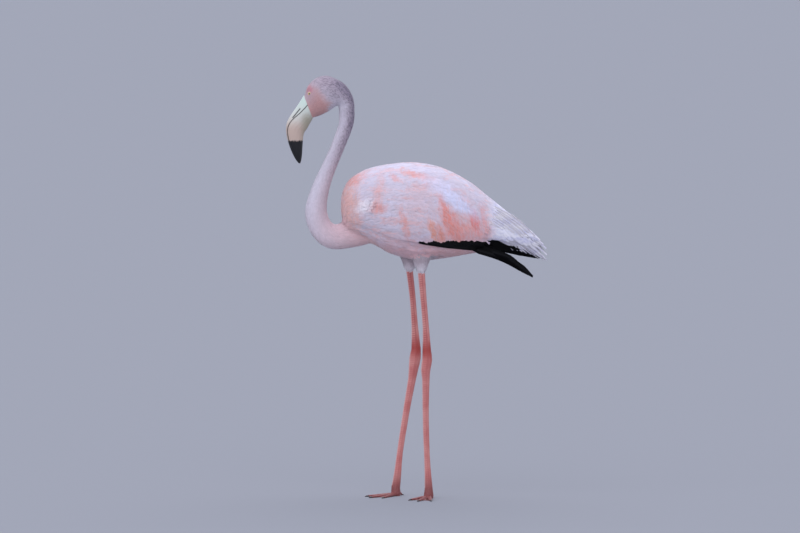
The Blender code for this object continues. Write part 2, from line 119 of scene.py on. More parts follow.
# The middle line of the head and neck, from the bill to the breast.
ROUTE = spline([BILL_ROOT, node_centre("head"), *(node_centre(n) for n in NECKS), NECK_ROOT], 90)
ROUTE_HEADING = unit(np.gradient(ROUTE, axis=0))

# ------------------------------------------------------------------------ materials


def hex_colour(code, alpha=1.0):
    """An sRGB hex colour as a linear one."""
    values = [int(code[i : i + 2], 16) / 255 for i in (1, 3, 5)]
    return (*(v / 12.92 if v <= 0.04045 else ((v + 0.055) / 1.055) ** 2.4 for v in values), alpha)


SMOOTHLY = {"interpolation_type": "SMOOTHSTEP"}
COLOURS = {"data_type": "RGBA"}


def add(tree, kind, links=None, out=0, **settings):
    """Adds a node with its settings, links and values (colours as hex codes); returns an output."""
    made = tree.nodes.new("ShaderNode" + kind)
    for key, value in settings.items():
        setattr(made, key, value)
    for key, value in (links or {}).items():
        if isinstance(value, bpy.types.NodeSocket):
            tree.links.new(value, made.inputs[key])
        else:
            made.inputs[key].default_value = hex_colour(value) if isinstance(value, str) else value
    return made.outputs[out]


def tinted(tree, below, above, value, low, high, most=1.0):
    """Lays one colour over another, smoothly, as a value passes from low to high."""
    amount = add(tree, "MapRange", {0: value, 1: low, 2: high, 4: most}, **SMOOTHLY)
    return add(tree, "Mix", {0: amount, 6: below, 7: above}, 2, **COLOURS)


def layered(tree, below, above, amount, strength):
    """Lays one colour over another, by an amount times a strength."""
    amount = add(tree, "Math", {0: amount, 1: strength}, operation="MULTIPLY")
    return add(tree, "Mix", {0: amount, 6: below, 7: above}, 2, **COLOURS)


def connect(shader, **outputs):
    """Links outputs to the shader's sockets of the same names."""
    for key, value in outputs.items():
        shader.id_data.links.new(value, shader.inputs[key.replace("_", " ")])


def new_material(name, **sockets):
    """A Principled material, its constants set on the shader's own sockets."""
    made = bpy.data.materials.new(name)
    made.use_nodes = True
    shader = made.node_tree.nodes["Principled BSDF"]
    for key, value in sockets.items():
        shader.inputs[key.replace("_", " ")].default_value = value
    return made, made.node_tree, shader


# Coloured patches of the trunk and wings: x and z of the middle, half length, half height,
# tilt in degrees (rear end down), strength and colour.
PATCHES = (
    (-0.142, 0.594, 0.024, 0.060, 0, 0.75, "#f0b4a4"),
    (-0.126, 0.656, 0.024, 0.010, -30, 0.70, "#f2a294"),
    (-0.076, 0.628, 0.009, 0.034, 8, 0.50, "#f2b0a4"),
    (-0.080, 0.598, 0.018, 0.008, 0, 0.65, "#f09c8e"),
    (-0.105, 0.601, 0.016, 0.010, -25, 0.80, "#fdf8ff"),
    (-0.004, 0.665, 0.030, 0.006, 12, 0.75, "#f5a89c"),
    (-0.046, 0.659, 0.010, 0.006, 40, 0.55, "#f3a8a0"),
    (-0.024, 0.564, 0.006, 0.030, -14, 0.65, "#f09c8c"),
    (0.004, 0.604, 0.030, 0.050, 20, 0.25, "#f0bcb8"),
    (0.034, 0.549, 0.006, 0.024, -16, 0.80, "#f49a74"),
    (0.049, 0.544, 0.006, 0.018, -16, 0.80, "#ee8c6c"),
    (0.082, 0.560, 0.042, 0.034, 8, 0.45, "#f2aea4"),
    (0.058, 0.590, 0.007, 0.036, -14, 0.65, "#f0988a"),
    (0.072, 0.566, 0.013, 0.038, -24, 0.75, "#ee8e80"),
    (0.104, 0.551, 0.050, 0.018, 0, 0.55, "#f09c90"),
    (0.119, 0.571, 0.008, 0.022, -14, 0.80, "#ee827a"),
    (0.140, 0.570, 0.006, 0.028, -14, 0.55, "#f09c94"),
    # Darker rosy patch low on the rear belly: partly painted shade.
    (0.080, 0.499, 0.060, 0.012, 0, 0.60, "#cf9c98"),
    # Blue-white patch behind the wing's bend: a painted sheen.
    (0.082, 0.612, 0.044, 0.012, 38, 0.90, "#e0e4ff"),
    (0.044, 0.642, 0.036, 0.012, 28, 0.55, "#e8e4fc"),
)
SOFT_EDGE = 1.8  # how far past its stated size a patch fades out


def trunk_colour(tree, place, moved, height):
    """Rosy and darker below, partly painted shade; paler above, a painted highlight; with streaks, coral
    patches, a painted sheen and white plumes behind the wing with painted shade between them.
    """
    # Rosy and darker below: partly painted shade on the belly.
    body = tinted(tree, "#deb4ba", "#dcd2e0", height, 0.500, 0.560)
    # Paler on top of the back: a painted highlight.
    body = tinted(tree, body, "#e0daea", height, 0.620, 0.690)
    # Rosy and bluish streaks run back and down along the feathers.
    slope = {"Vector": moved, "Rotation": (0.0, math.radians(-28), 0.0), "Scale": (0.35, 1.0, 1.6)}
    streak = {0: add(tree, "Mapping", slope), "Scale": 1000 / 18.0, "Detail": 3.0, "Roughness": 0.6}
    streak = add(tree, "TexNoise", streak, "Fac")
    body = tinted(tree, body, "#f2b8b4", streak, 0.48, 0.70, 0.55)
    body = tinted(tree, body, "#dcdcf4", streak, 0.48, 0.30, 0.40)
    # Thin strands of colour follow the feathers, steeply down on the lower wing.
    steep = {"Vector": place, "Rotation": (0.0, math.radians(16), 0.0), "Scale": (1.6, 1.0, 0.22)}
    strand = {0: add(tree, "Mapping", steep), "Scale": 1000 / 5.0, "Detail": 3.0, "Roughness": 0.65}
    strand = add(tree, "TexNoise", strand, "Fac")
    strand = add(tree, "MapRange", {0: strand, 1: 0.30, 2: 0.70, 3: 0.60, 4: 1.30}, **SMOOTHLY)
    for x, z, long, high, tilt, strength, colour in PATCHES:
        links = {
            "Vector": moved,
            "Location": (x, MIDDLE, z),
            "Rotation": (0.0, math.radians(tilt), 0.0),
            "Scale": (long * SOFT_EDGE, 10.0, high * SOFT_EDGE),
        }
        inside = add(tree, "Mapping", links, vector_type="TEXTURE")
        ball = add(tree, "TexGradient", {0: inside}, "Fac", gradient_type="SPHERICAL")
        strands = add(tree, "Math", {0: ball, 1: strand}, operation="MULTIPLY")
        body = tinted(tree, body, colour, strands, 0.0, 0.85, strength)
    distance = add(tree, "SeparateXYZ", {0: moved}, "X")
    behind_wing = add(tree, "MapRange", {0: distance, 1: 0.138, 2: 0.170}, **SMOOTHLY)
    # The white plumes are streaked with grey lavender, painted as shade between them.
    plume = tinted(tree, "#d2d4ee", "#f4f5ff", streak, 0.35, 0.60)
    return layered(tree, body, plume, behind_wing, 0.92)


def neck_colour(tree, place, moved):
    """Pale in front, grey lavender and speckled behind, pinker towards the breast; a pink face."""
    root = add(tree, "Attribute", out="Vector", attribute_name="root")
    names = ("station", "nape")
    station, nape = (add(tree, "Attribute", out="Fac", attribute_name=n) for n in names)
    neck = tinted(tree, "#e2dce8", "#e0cfd8", nape, -0.6, 0.6)
    neck = tinted(tree, neck, "#ecb4b0", station, 0.50, 0.98, 0.80)
    fleck = add(tree, "TexNoise", {0: root, "Scale": 1000 / 1.2, "Detail": 1.0}, "Fac")
    upper = add(tree, "MapRange", {0: station, 1: 0.24, 2: 0.52, 3: 1.0, 4: 0.06}, **SMOOTHLY)
    share = add(tree, "MapRange", {0: station, 1: 0.07, 2: 0.20, 3: 0.30, 4: 1.0}, **SMOOTHLY)
    upper = add(tree, "Math", {0: upper, 1: share}, operation="MULTIPLY")
    behind = add(tree, "MapRange", {0: nape, 1: -0.8, 2: 0.9}, **SMOOTHLY)
    dense = add(tree, "Math", {0: upper, 1: behind}, operation="MULTIPLY")
    share = add(tree, "MapRange", {0: fleck, 1: 0.47, 2: 0.58}, **SMOOTHLY)
    flecks = add(tree, "Math", {0: share, 1: dense}, operation="MULTIPLY")
    neck = layered(tree, neck, "#887f95", dense, 0.95)
    neck = layered(tree, neck, "#4a4456", flecks, 0.75)
    # Face: pink up to a slanting line from the brow to the throat.
    eye = node_centre("eye_left")
    slanting = {0: moved, 1: (0.747, 0.0, 0.665)}
    across_face = add(tree, "VectorMath", slanting, "Value", operation="DOT_PRODUCT")
    line = 0.747 * (eye[0] + 0.005) + 0.665 * (eye[2] + 0.020)
    crown_side = add(tree, "MapRange", {0: across_face, 1: line - 0.010, 2: line + 0.010}, **SMOOTHLY)
    on_head = add(tree, "MapRange", {0: station, 1: 0.16, 2: 0.20}, **SMOOTHLY)
    face = tinted(tree, "#cf9f9c", "#ccb2ba", nape, -0.2, 0.8)
    brow_place = (eye[0] - 0.002, MIDDLE, eye[2] + 0.009)
    brow = {"Vector": place, "Location": brow_place, "Scale": (0.013, 1.0, 0.012)}
    brow = add(tree, "Mapping", brow, vector_type="TEXTURE")
    brow = add(tree, "TexGradient", {0: brow}, "Fac", gradient_type="SPHERICAL")
    face = tinted(tree, face, "#d27480", brow, 0.0, 0.8, 0.60)
    clear = add(tree, "Math", {0: crown_side, 1: on_head}, operation="MAXIMUM")
    return add(tree, "Mix", {0: clear, 6: face, 7: neck}, 2, **COLOURS)


def plumage_colour(tree):
    """The bird's markings by place, alike on the skin and the coat.
    Here and below a noise's scale is 1000 over its size in millimetres."""
    place = add(tree, "TexCoord", out="Object")
    root = add(tree, "Attribute", out="Vector", attribute_name="root")
    names = ("station", "tone")
    station, tone = (add(tree, "Attribute", out="Fac", attribute_name=n) for n in names)
    # Soft edges wander by about a centimetre and differ a little from feather to feather.
    broad = add(tree, "TexNoise", {0: place, "Scale": 1000 / 16.0, "Detail": 3.0}, "Color")
    single = add(tree, "TexNoise", {0: root, "Scale": 1000 / 5.0}, "Color")
    wander = add(tree, "Mix", {0: 0.3, 6: broad, 7: single}, 2, **COLOURS)
    shift = add(tree, "VectorMath", {0: wander, 1: (0.5, 0.5, 0.5)}, operation="SUBTRACT")
    shift = add(tree, "VectorMath", {0: shift, "Scale": 0.026}, operation="SCALE")
    moved = add(tree, "VectorMath", {0: place, 1: shift}, operation="ADD")
    height = add(tree, "SeparateXYZ", {0: moved}, "Z")
    body = trunk_colour(tree, place, moved, height)
    neck = neck_colour(tree, place, moved)
    whole = tinted(tree, neck, body, station, 0.93, 1.05)
    # Thigh: grey pink, darker above the hem as partly painted shade under the belly, with a pale downy hem
    # over the shank.
    hem_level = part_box("thigh_left")[0].z
    thigh = tinted(tree, "#e4dde4", "#b4a6ae", height, hem_level, hem_level + 0.022)
    whole = tinted(tree, whole, thigh, station, 1.5, 2.0)
    lightness = add(tree, "MapRange", {0: tone, 1: 0.0, 2: 1.0, 3: 0.95, 4: 1.05}, **SMOOTHLY)
    return add(tree, "VectorMath", {0: whole, "Scale": lightness}, operation="SCALE")


def barb_waves(tree, along_vane, across_vane):
    """Waves of barbs that slant back from a vane's shaft, and how far out they are from it."""
    parts = add(tree, "SeparateXYZ", {0: add(tree, "UVMap", uv_map="vane")}).node.outputs
    across = add(tree, "Math", {0: parts["Y"]}, operation="ABSOLUTE")
    along = add(tree, "Math", {0: parts["X"], 1: along_vane}, operation="MULTIPLY")
    scaled = add(tree, "Math", {0: across, 1: -across_vane}, operation="MULTIPLY")
    slant = add(tree, "Math", {0: along, 1: scaled}, operation="ADD")
    turns = add(tree, "Math", {0: slant, 1: math.tau}, operation="MULTIPLY")
    return add(tree, "Math", {0: turns}, operation="SINE"), across


def make_plumage(name, vaned):
    """Keratin feathers, matt and silky: barbs scatter light, so edges glow against it."""
    made, tree, shader = new_material(name, Roughness=0.75, Sheen_Weight=0.45, Sheen_Roughness=0.4)
    shader.inputs["Sheen Tint"].default_value = hex_colour("#fff4fa")
    shader.inputs["Specular IOR Level"].default_value = 0.25
    colour = plumage_colour(tree)
    if vaned:
        barbs, across = barb_waves(tree, 14.0, 9.0)
        colour = tinted(tree, colour, "#fff8fc", across, 0.5, 1.0, 0.22)
        colour = tinted(tree, colour, "#b89cab", barbs, -1.0, 1.0, 0.10)
        bump = add(tree, "Bump", {"Strength": 0.25, "Distance": 0.0002, "Height": barbs})
        connect(shader, Normal=bump)
    connect(shader, Base_Color=colour)
    return made


PLUMAGE = make_plumage("contour feathers", True)
SKIN_DOWN = make_plumage("down next to the skin", False)


def make_flight_black():
    """Melanin-black flight feathers: stiff, smooth vanes, nearly matt, with paler shafts."""
    made, tree, shader = new_material("black flight feathers", Roughness=0.6)
    shader.inputs["Specular IOR Level"].default_value = 0.12
    barbs, across = barb_waves(tree, 60.0, 8.0)
    bump = add(tree, "Bump", {"Strength": 0.3, "Distance": 0.0002, "Height": barbs})
    shaft = add(tree, "MapRange", {0: across, 1: 0.03, 2: 0.09, 3: 1.0, 4: 0.0}, **SMOOTHLY)
    colour = tinted(tree, "#030305", "#09090d", barbs, -1.0, 1.0)
    colour = add(tree, "Mix", {0: shaft, 6: colour, 7: "#141318"}, 2, **COLOURS)
    connect(shader, Base_Color=colour, Normal=bump)
    return made


FLIGHT_BLACK = make_flight_black()


def make_leg_skin():
    """Scaly leg skin: satin pink plates with darker creases, redder at the joints, and a painted highlight
    down the front.
    """
    satin = {"Roughness": 0.46, "Coat_Weight": 0.12, "Coat_Roughness": 0.35}
    made, tree, shader = new_material("scaly leg skin", **satin)
    place = add(tree, "TexCoord", out="Object")
    names = ("crease", "joint", "seam", "front_highlight")
    crease, joint, seam, front_highlight = (add(tree, "Attribute", out="Fac", attribute_name=n) for n in names)
    patchy = add(tree, "TexNoise", {0: place, "Scale": 1000 / 30.0, "Detail": 4.0}, "Fac")
    colour = tinted(tree, "#c87470", "#d48c86", patchy, 0.35, 0.65)
    colour = layered(tree, colour, "#a8342c", joint, 0.92)
    colour = layered(tree, colour, "#8a2e30", crease, 0.85)
    height = add(tree, "SeparateXYZ", {0: place}, "Z")
    colour = tinted(tree, colour, "#7a3c3c", height, 0.060, 0.008, 0.85)
    colour = layered(tree, colour, "#96403e", seam, 0.60)
    # A painted highlight down the front of the leg.
    colour = layered(tree, colour, "#ecc0ba", front_highlight, 0.55)
    grain = add(tree, "TexVoronoi", {"Vector": place, "Scale": 1000 / 1.6}, "Distance")
    bump = add(tree, "Bump", {"Strength": 0.35, "Distance": 0.00025, "Height": grain})
    rough = add(tree, "MapRange", {0: patchy, 1: 0.3, 2: 0.7, 3: 0.38, 4: 0.55}, **SMOOTHLY)
    connect(shader, Base_Color=colour, Normal=bump, Roughness=rough)
    return made


LEG_SKIN = make_leg_skin()


def make_bill_horn():
    """Keratin bill: mint white at the root, fawn in the middle, glossy black at the tip."""
    made, tree, shader = new_material("bill keratin", Roughness=0.40, Coat_Weight=0.10, Coat_Roughness=0.3)
    place = add(tree, "TexCoord", out="Object")
    low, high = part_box("bill_upper")
    ragged = add(tree, "TexNoise", {0: place, "Scale": 1000 / 4.0, "Detail": 3.0}, "Fac")
    parts = add(tree, "SeparateXYZ", {0: place}).node.outputs
    scaled = add(tree, "Math", {0: ragged, 1: 0.010}, operation="MULTIPLY")
    level = add(tree, "Math", {0: parts["Z"], 1: scaled}, operation="ADD")
    # Levels of the horn's zones, as shares of the upper half's height.
    shares = np.array((0.52, 0.78, 0.72, 0.84, 0.66, 0.385, 0.36))
    fawn, mint, green, throat_top, throat_low, grey, black = low.z + (high.z - low.z) * shares
    colour = tinted(tree, "#cdb6a8", "#d6d8d0", level, fawn, mint)
    colour = tinted(tree, colour, "#cfe3d8", level, green, high.z)
    rear = add(tree, "MapRange", {0: parts["X"], 1: low.x + 0.024, 2: low.x + 0.044}, **SMOOTHLY)
    throat = add(tree, "MapRange", {0: level, 1: throat_top, 2: throat_low, 4: 0.8}, **SMOOTHLY)
    colour = layered(tree, colour, "#a09c84", rear, throat)
    colour = tinted(tree, colour, "#07080c", level, grey, black)
    # Painted shade: near black along the gap between the halves and in the nostril slit.
    painted_gap_shade = add(tree, "Attribute", out="Fac", attribute_name="painted_gap_shade")
    colour = add(tree, "Mix", {0: painted_gap_shade, 6: colour, 7: "#0c0a0c"}, 2, **COLOURS)
    stretch = add(tree, "Mapping", {"Vector": place, "Scale": (1.0, 1.0, 0.25)})
    fibre = add(tree, "TexNoise", {0: stretch, "Scale": 1000 / 0.9, "Detail": 3.0}, "Fac")
    bump = add(tree, "Bump", {"Strength": 0.22, "Distance": 0.0002, "Height": fibre})
    rough = add(tree, "MapRange", {0: fibre, 1: 0.3, 2: 0.7, 3: 0.28, 4: 0.42}, **SMOOTHLY)
    connect(shader, Base_Color=colour, Normal=bump, Roughness=rough)
    return made


BILL_HORN = make_bill_horn()


def make_claw_horn():
    """Claw keratin: near black with paler growth bands."""
    made, tree, shader = new_material("claw keratin", Roughness=0.35, Coat_Weight=0.15)
    place = add(tree, "TexCoord", out="Object")
    bands = add(tree, "TexNoise", {0: place, "Scale": 1000 / 2.0}, "Fac")
    colour = tinted(tree, "#1d1416", "#4a3638", bands, 0.35, 0.7)
    connect(shader, Base_Color=colour)
    return made


CLAW_HORN = make_claw_horn()

# ---------------------------------------------------------------------- mesh helpers


def finish_piece(piece, slot, *replaced):
    """Puts a piece on the frame's one body and hides the nodes it stands for; slot is not used."""
    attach(piece, "root")
    if replaced:
        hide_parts(*replaced)
    return piece


def in_scene(name, data):
    made = bpy.data.objects.new(name, data)
    bpy.context.scene.collection.objects.link(made)
    return made


def object_of(name, mesh, mat):
    mesh.materials.clear()
    mesh.materials.append(mat)
    mesh.shade_smooth()
    return in_scene(name, mesh)


def mesh_of(name, bm):
    mesh = bpy.data.meshes.new(name)
    bm.to_mesh(mesh)
    bm.free()
    return mesh


def write_attribute(mesh, name, values):
    """A number or a vector for each point of a mesh, for its material to read."""
    kind = "FLOAT_VECTOR" if values.ndim == 2 else "FLOAT"
    layer = mesh.attributes.new(name, kind, "POINT")
    layer.data.foreach_set("vector" if values.ndim == 2 else "value", values.astype(np.float32).ravel())


def mark(mesh, root, station, nape, tone):
    """What the markings need to know of each point: its feather's root, place and shade."""
    write_attribute(mesh, "root", root)
    write_attribute(mesh, "station", station)
    write_attribute(mesh, "nape", nape)
    write_attribute(mesh, "tone", tone)


def read_normals(mesh):
    return read(mesh.vertex_normals, "vector", 3).astype(float)


def read_edges(mesh):
    return read(mesh.edges, "vertices", 2, np.int32)


def write_points(mesh, co):
    mesh.vertices.foreach_set("co", co.astype(np.float32).ravel())
    mesh.update()


def neighbour_mean(values, edges):
    """Each point's mean over the points that its edges lead to."""
    total = np.empty_like(values)
    both = np.concatenate((edges, edges[:, ::-1]))
    count = np.maximum(np.bincount(both[:, 0], minlength=len(values)), 1)
    for k in range(values.shape[1]):
        total[:, k] = np.bincount(both[:, 0], values[both[:, 1], k], len(values))
    return total / count[:, None]


def relax(co, edges, rounds):
    """Rounds off facets and keeps the volume: each step in is followed by a step out."""
    for _ in range(rounds):
        for step in (0.50, -0.52):
            co = co + step * (neighbour_mean(co, edges) - co)
    return co


def merged_skin(name, nodes, cell, rounds, bridged=()):
    """One closed, smoothed skin round several frame nodes, and over the gap between bridged ones."""
    bm = bmesh.new()
    for node in bridged:
        bm.from_mesh(NODES[node].data)
    if bridged:
        hull = bmesh.ops.convex_hull(bm, input=bm.verts)
        inner = hull["geom_interior"] + hull["geom_unused"]
        spare = {item for item in inner if isinstance(item, bmesh.types.BMVert)}
        bmesh.ops.delete(bm, geom=list(spare), context="VERTS")
    for node in nodes:
        bm.from_mesh(NODES[node].data)
    bmesh.ops.remove_doubles(bm, verts=bm.verts, dist=1e-6)
    rough = mesh_of(name, bm)
    holder = in_scene(name, rough)
    remesh = holder.modifiers.new("one skin", "REMESH")
    remesh.mode = "VOXEL"
    remesh.voxel_size = cell
    depsgraph = bpy.context.evaluated_depsgraph_get()
    mesh = bpy.data.meshes.new_from_object(holder.evaluated_get(depsgraph))
    bpy.data.objects.remove(holder)
    bpy.data.meshes.remove(rough)
    mesh.name = name
    write_points(mesh, relax(read_points(mesh), read_edges(mesh), rounds))
    return mesh


def surface_of(mesh):
    """A mesh as a tree that finds its nearest point quickly."""
    bm = bmesh.new()
    bm.from_mesh(mesh)
    tree = BVHTree.FromBMesh(bm)
    bm.free()
    return tree


# ----------------------------------------------------------------------------- skin

SKIN_CELL, FINE_CELL = 0.0027, 0.0020  # how finely skins are remeshed
COAT_DEPTH = {"head": 0.0010, "neck": 0.0014, "trunk": 0.0026, "thigh": 0.0020, "bill": 0.0020}
KINDS = tuple(COAT_DEPTH)


def kinds_at(points):
    """Which part of the body each point belongs to, as an index of KINDS."""
    owners = []
    for node in FLESH + NECKS + HORN:
        kind = "trunk" if node.startswith("wing") else node.split("_")[0]
        owners += [(co, KINDS.index(kind)) for co in node_points(node)]
    tree = kdtree.KDTree(len(owners))
    for i, (co, kind) in enumerate(owners):
        tree.insert(co, i)
    tree.balance()
    return np.array([owners[tree.find(co)[1]][1] for co in points])


def route_places(points):
    """For each point the nearest place on the neck's middle line, from 0 to 1, and its index."""
    tree = kdtree.KDTree(len(ROUTE))
    for i, co in enumerate(ROUTE):
        tree.insert(co, i)
    tree.balance()
    index = np.array([tree.find(co)[1] for co in points])
    return index / (len(ROUTE) - 1), index


class Coat:
    """The skin's points with all that the feathers and the markings need to know."""

    def __init__(self, mesh):
        co, edges = read_points(mesh), read_edges(mesh)
        kind = kinds_at(co)
        along, index = route_places(co)
        normal = read_normals(mesh)
        on_neck = np.isin(kind, (0, 1, 4))
        # How the coat lies: down the neck, out from its root over the trunk, down the thigh.
        lie = ROUTE_HEADING[index].copy()
        away = unit(co - (NECK_ROOT + np.array((-0.050, 0.0, -0.004))))
        near = np.exp(-np.linalg.norm(co - NECK_ROOT, axis=1) / 0.07)[:, None]
        fall = smooth_step(co[:, 0], TRUNK_LOW.x + 0.05, TRUNK_HIGH.x)
        steep = smooth_step(-co[:, 2], -0.655, -0.555) * smooth_step(co[:, 0], -0.07, 0.00)
        angle = -np.radians(6 + 26 * fall + 44 * steep * (1 - smooth_step(co[:, 0], 0.10, 0.15)))
        level = smooth_step(co[:, 2], 0.503, 0.520)
        angle = angle * level
        rear = np.stack((np.cos(angle), 0 * angle, np.sin(angle)), 1)
        lie = np.where(on_neck[:, None], lie, unit(away * near * 1.6 + rear * (1 - near)))
        lie = np.where((kind == 3)[:, None], np.array((0.0, 0.0, -1.0)), lie)
        for _ in range(14):
            lie = 0.4 * lie + 0.6 * neighbour_mean(lie, edges)
            lie = unit(lie - (lie * normal).sum(1)[:, None] * normal)
        station = np.where(on_neck, along * 0.97, np.where(kind == 3, 2.2, 1.1))[:, None]
        depth = np.array([COAT_DEPTH[name] for name in KINDS])[kind][:, None]
        for _ in range(8):
            station = neighbour_mean(station, edges)
            depth = neighbour_mean(depth, edges)
        back = unit(np.cross(ROUTE_HEADING[index], Y))
        self.nape = (normal * back).sum(1)
        self.station = station[:, 0]
        self.kind = kind
        self.along = along
        self.lie = lie
        self.normal = normal
        self.co = co - normal * depth
        write_points(mesh, self.co)
        self.surface = surface_of(mesh)

    def unwrap(self, index):
        """The skin opened out: how far along the neck or body, and how far round it."""
        on_neck = self.kind[index] < 2
        round_neck = np.arctan2(self.normal[index][:, 1], self.nape[index])
        neck = np.stack((self.along[index], round_neck), 1)
        return np.where(on_neck[:, None], neck, unwrapped_body(self.co[index]))


def unwrapped_body(points):
    """Places on the trunk opened out: how far along it, and how far round it."""
    middle = (TRUNK_LOW.z + TRUNK_HIGH.z) / 2
    turn = np.arctan2(points[:, 1] - MIDDLE, points[:, 2] - middle)
    return np.stack(((points[:, 0] - TRUNK_LOW.x) / (TRUNK_HIGH.x - TRUNK_LOW.x), turn), 1)


class RearBed:
    """The back between and behind the folded wings, where plumes close over both of them."""

    def __init__(self, mesh):
        self.co, self.normal = read_points(mesh), read_normals(mesh)
        fall = np.radians(26 + 18 * smooth_step(self.co[:, 0], 0.08, 0.16))
        rear = np.stack((np.cos(fall), 0 * fall, -np.sin(fall)), 1)
        self.lie = unit(rear - (rear * self.normal).sum(1)[:, None] * self.normal)
        self.station = np.full(len(self.co), 1.1)
        self.nape = 0 * self.station

    def unwrap(self, index):
        return unwrapped_body(self.co[index])


# The skin goes on under the bill, so that no gap shows between the face and the horn.
skin_mesh = merged_skin("skin", FLESH + NECKS + HORN, SKIN_CELL, 30)
coat = Coat(skin_mesh)
mark(skin_mesh, coat.co, coat.station, coat.nape, np.full(len(coat.co), 0.4))
skin = object_of("skin", skin_mesh, SKIN_DOWN)
finish_piece(skin, "body_feathers", "head", *NECKS, "trunk", "thigh_left", "thigh_right")

# ------------------------------------------------------------------------ the feathers


def vane_pattern(rows):
    """A thin closed vane as arrays: place along, place across, side of the sheet and faces."""
    bm = bmesh.new()
    top = bmesh.ops.create_grid(bm, x_segments=2, y_segments=rows, size=1.0)["verts"]
    for vert in top:
        vert.co.z = 1.0 if abs(vert.co.x) < 0.5 and abs(vert.co.y) < 0.999 else 0.0
    # Both sheets are parted along the same diagonals, so that neither pokes through the other.
    bmesh.ops.triangulate(bm, faces=bm.faces[:])
    copy = bmesh.ops.duplicate(bm, geom=bm.verts[:] + bm.edges[:] + bm.faces[:])["geom"]
    below = [item for item in copy if isinstance(item, bmesh.types.BMVert)]
    bmesh.ops.scale(bm, verts=below, vec=(1.0, 1.0, -1.0))
    bmesh.ops.reverse_faces(bm, faces=[item for item in copy if isinstance(item, bmesh.types.BMFace)])
    bmesh.ops.remove_doubles(bm, verts=bm.verts, dist=1e-4)
    bm.verts.index_update()
    co = np.array([vert.co for vert in bm.verts])
    faces = np.array([[vert.index for vert in face.verts] for face in bm.faces])
    bm.free()
    along = 1 - (1 - (co[:, 1] + 1) / 2) ** 1.35
    return along, co[:, 0], co[:, 2], faces


def rounded(u):
    """Outline of a contour feather: narrow at the root, round at the tip."""
    return 0.36 + 0.64 * np.sin(np.pi * np.clip(u, 0, 1) ** 0.75) ** 0.6


def lanceolate(u):
    """Outline of a long plume: nearly parallel, drawn out to a point."""
    return 0.25 + 0.75 * smooth_step(u, 0.0, 0.25) - 0.94 * smooth_step(u, 0.55, 1.02)


def bladed(u):
    """Outline of a flight feather: parallel edges and a blunt, rounded tip."""
    return 0.10 + 0.90 * smooth_step(u, 0.0, 0.25) - 0.85 * smooth_step(u, 0.82, 1.04)


BAKE_PATCH = 0.003  # size of one vane in its piece's OFBake map


def joined_vanes(name, points, pattern, roots, station, nape, unwrapped, mat):
    """One mesh of many vanes: points holds each vane's corners in turn."""
    along, across, _, faces = pattern
    count, corners = points.shape[:2]
    loops = (faces[None] + (np.arange(count) * corners)[:, None, None]).ravel()
    mesh = bpy.data.meshes.new(name)
    mesh.vertices.add(count * corners)
    mesh.loops.add(len(loops))
    mesh.polygons.add(len(loops) // 3)
    mesh.vertices.foreach_set("co", points.astype(np.float32).ravel())
    mesh.loops.foreach_set("vertex_index", loops.astype(np.int32))
    mesh.polygons.foreach_set("loop_start", np.arange(0, len(loops), 3, dtype=np.int32))
    mesh.update(calc_edges=True)
    mesh.validate()
    lowest, span = unwrapped.min(0), np.maximum(np.ptp(unwrapped, 0), 1e-6)
    unwrapped = 0.01 + 0.98 * (unwrapped - lowest) / span
    local = np.stack((along - 0.5, across * 0.5), 1)[faces.ravel()]
    spots = unwrapped[:, None] + BAKE_PATCH * local[None]
    mesh.uv_layers.new(name="OFBake").uv.foreach_set("vector", spots.astype(np.float32).ravel())
    vane = np.broadcast_to(np.stack((along, across), 1)[faces.ravel()], (count, len(faces) * 3, 2))
    mesh.uv_layers.new(name="vane").uv.foreach_set("vector", vane.astype(np.float32).ravel())
    mesh.uv_layers.active = mesh.uv_layers["OFBake"]
    mark(mesh, *(np.repeat(v, corners, 0) for v in (roots, station, nape, rng.random(count))))
    return object_of(name, mesh, mat)


def grow(
    name, index, length, width, lift, outline, rows=4, guide=None, turn=3.5, hem=None, vary=0.07, bed=None
):
    """A coat of vanes rooted at a bed's points, laid along the coat and pressed to the guide.
    They end above the hem; turn is how untidily they lie, in degrees, vary how their lengths differ."""
    guide, bed = guide or coat.surface, bed or coat
    pattern = vane_pattern(rows)
    along, across, sheet, _ = pattern
    count = len(index)
    root = bed.co[index]
    normal = bed.normal[index]
    heading = bed.lie[index]
    side = np.cross(heading, normal)
    spin = np.radians(rng.normal(0, turn, count))[:, None]
    heading = heading * np.cos(spin) + side * np.sin(spin)
    side = np.cross(heading, normal)
    length = length * rng.uniform(1 - vary, 1 + vary, count)
    if hem is not None:
        fall = np.maximum(-heading[:, 2], 0.05)
        room = (root[:, 2] - hem - rng.uniform(-0.005, 0.005, count)) / fall
        length = np.minimum(length, np.maximum(room, 0.005))
    width = width * rng.uniform(0.9, 1.1, count)
    lift = lift * rng.uniform(0.96, 1.04, count)
    reach = along[None, :, None] * (length[:, None, None] * heading[:, None])
    spread = (across * outline(along))[None, :, None] * (width[:, None, None] / 2 * side[:, None])
    points = root[:, None] + reach + spread
    flat = points.reshape(-1, 3)
    outward = np.empty_like(flat)
    for i, point in enumerate(flat):
        hit, face_normal, _, _ = guide.find_nearest(point)
        flat[i] = hit
        outward[i] = face_normal
    rise = 0.15 + 0.85 * along
    camber = 1.0 - 0.12 * across**2
    sunk, thickness = 0.0004 * (1 - along), 0.00005
    height = lift[:, None] * (rise * camber)[None] - sunk[None] + thickness * sheet[None]
    points = (flat + outward * height.reshape(-1, 1)).reshape(points.shape)
    made = joined_vanes(
        name, points, pattern, root, bed.station[index], bed.nape[index], bed.unwrap(index), PLUMAGE
    )
    soften(made.data, outward, sheet, count)
    return made


def soften(mesh, outward, sheet, count):
    """Turns the vanes' normals towards the coat's own, as barbs of neighbours knit together."""
    above = np.tile(sheet > -0.5, count)
    own = read_normals(mesh)
    mixed = np.where(above[:, None], unit(0.35 * own + 0.65 * outward), own)
    mesh.normals_split_custom_set_from_vertices(mixed.astype(np.float32).tolist())


